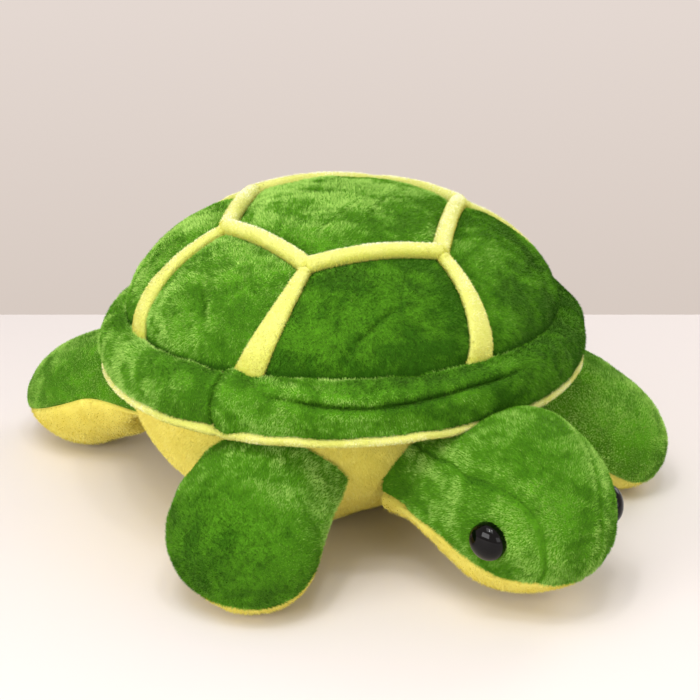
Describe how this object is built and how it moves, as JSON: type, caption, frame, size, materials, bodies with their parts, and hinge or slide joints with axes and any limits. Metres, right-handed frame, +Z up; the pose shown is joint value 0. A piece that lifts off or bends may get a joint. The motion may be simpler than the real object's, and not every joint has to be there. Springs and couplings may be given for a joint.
{
  "type": "plush turtle",
  "caption": "Stuffed plush turtle: a padded panelled shell with raised strips and a rolled rim, on a round soft body with hinged flippers, head and tail, and domed safety eyes.",
  "frame": {"origin": "middle of the belly's flat resting face, under the middle of the shell", "axes": "-Y towards the head, +Y towards the tail, +X towards the turtle's left, +Z up out of the shell"},
  "size_m": [0.3871, 0.4908, 0.2206],
  "materials": {
    "green_plush": "short-pile polyester plush, grass green",
    "yellow_plush": "short-pile polyester plush, soft yellow",
    "pale_yellow_plush": "short-pile polyester plush, pale lemon",
    "polyester_filling": "loose polyester fibre filling, off-white",
    "black_eye_plastic": "polished moulded plastic, black",
    "washer_plastic": "moulded plastic, off-white"
  },
  "bodies": {
    "shell_and_body": {"shell_top_panel": "green_plush", "shell_side_panel_1": "green_plush", "shell_side_panel_2": "green_plush", "shell_side_panel_3": "green_plush", "shell_side_panel_4": "green_plush", "shell_side_panel_5": "green_plush", "shell_side_panel_6": "green_plush", "hexagon_strip_1": "pale_yellow_plush", "hexagon_strip_2": "pale_yellow_plush", "hexagon_strip_3": "pale_yellow_plush", "hexagon_strip_4": "pale_yellow_plush", "hexagon_strip_5": "pale_yellow_plush", "hexagon_strip_6": "pale_yellow_plush", "rib_strip_1": "pale_yellow_plush", "rib_strip_2": "pale_yellow_plush", "rib_strip_3": "pale_yellow_plush", "rib_strip_4": "pale_yellow_plush", "rib_strip_5": "pale_yellow_plush", "rib_strip_6": "pale_yellow_plush", "rim_band_front": "green_plush", "rim_band_rear": "green_plush", "rim_lip_right": "pale_yellow_plush", "rim_lip_left": "pale_yellow_plush", "shell_stuffing": "polyester_filling", "body_side_wall": "yellow_plush", "belly_panel": "yellow_plush", "body_stuffing": "polyester_filling"},
    "flipper_front_right": {"flipper_front_right_top": "green_plush", "flipper_front_right_bottom": "yellow_plush", "flipper_front_right_stuffing": "polyester_filling"},
    "flipper_front_left": {"flipper_front_left_top": "green_plush", "flipper_front_left_bottom": "yellow_plush", "flipper_front_left_stuffing": "polyester_filling"},
    "flipper_rear_right": {"flipper_rear_right_top": "green_plush", "flipper_rear_right_bottom": "yellow_plush", "flipper_rear_right_stuffing": "polyester_filling"},
    "flipper_rear_left": {"flipper_rear_left_top": "green_plush", "flipper_rear_left_bottom": "yellow_plush", "flipper_rear_left_stuffing": "polyester_filling"},
    "head": {"head_underside": "yellow_plush", "head_gusset": "green_plush", "head_side_left": "green_plush", "head_side_right": "green_plush", "head_stuffing": "polyester_filling", "eye_right": "black_eye_plastic", "eye_left": "black_eye_plastic", "eye_washer_right": "washer_plastic", "eye_washer_left": "washer_plastic"},
    "tail": {"tail_top": "green_plush", "tail_bottom": "yellow_plush"}
  },
  "joints": [
    {"name": "flipper_front_right_lift", "type": "hinge", "parent": "shell_and_body", "child": "flipper_front_right", "pos_m": [-0.13162, -0.07599, 0.068], "axis": [-0.5, 0.866, 0], "range_deg": [-10, 25], "stiffness_Nm_per_rad": 1.5},
    {"name": "flipper_front_left_lift", "type": "hinge", "parent": "shell_and_body", "child": "flipper_front_left", "pos_m": [0.13458, -0.07156, 0.068], "axis": [-0.4695, -0.8829, 0], "range_deg": [-10, 25], "stiffness_Nm_per_rad": 1.5},
    {"name": "flipper_rear_right_lift", "type": "hinge", "parent": "shell_and_body", "child": "flipper_rear_right", "pos_m": [-0.07261, 0.13656, 0.069], "axis": [0.8829, 0.4695, 0], "range_deg": [-10, 20], "stiffness_Nm_per_rad": 1.5},
    {"name": "flipper_rear_left_lift", "type": "hinge", "parent": "shell_and_body", "child": "flipper_rear_left", "pos_m": [0.07261, 0.13656, 0.069], "axis": [0.8829, -0.4695, 0], "range_deg": [-10, 20], "stiffness_Nm_per_rad": 1.5},
    {"name": "head_nod", "type": "hinge", "parent": "shell_and_body", "child": "head", "pos_m": [0, -0.13141, 0.057], "axis": [-1, 0, 0], "range_deg": [-16, 1], "stiffness_Nm_per_rad": 2.5},
    {"name": "tail_lift", "type": "hinge", "parent": "shell_and_body", "child": "tail", "pos_m": [0, 0.14334, 0.06], "axis": [1, 0, 0], "range_deg": [-10, 10], "stiffness_Nm_per_rad": 0.2}
  ]
}
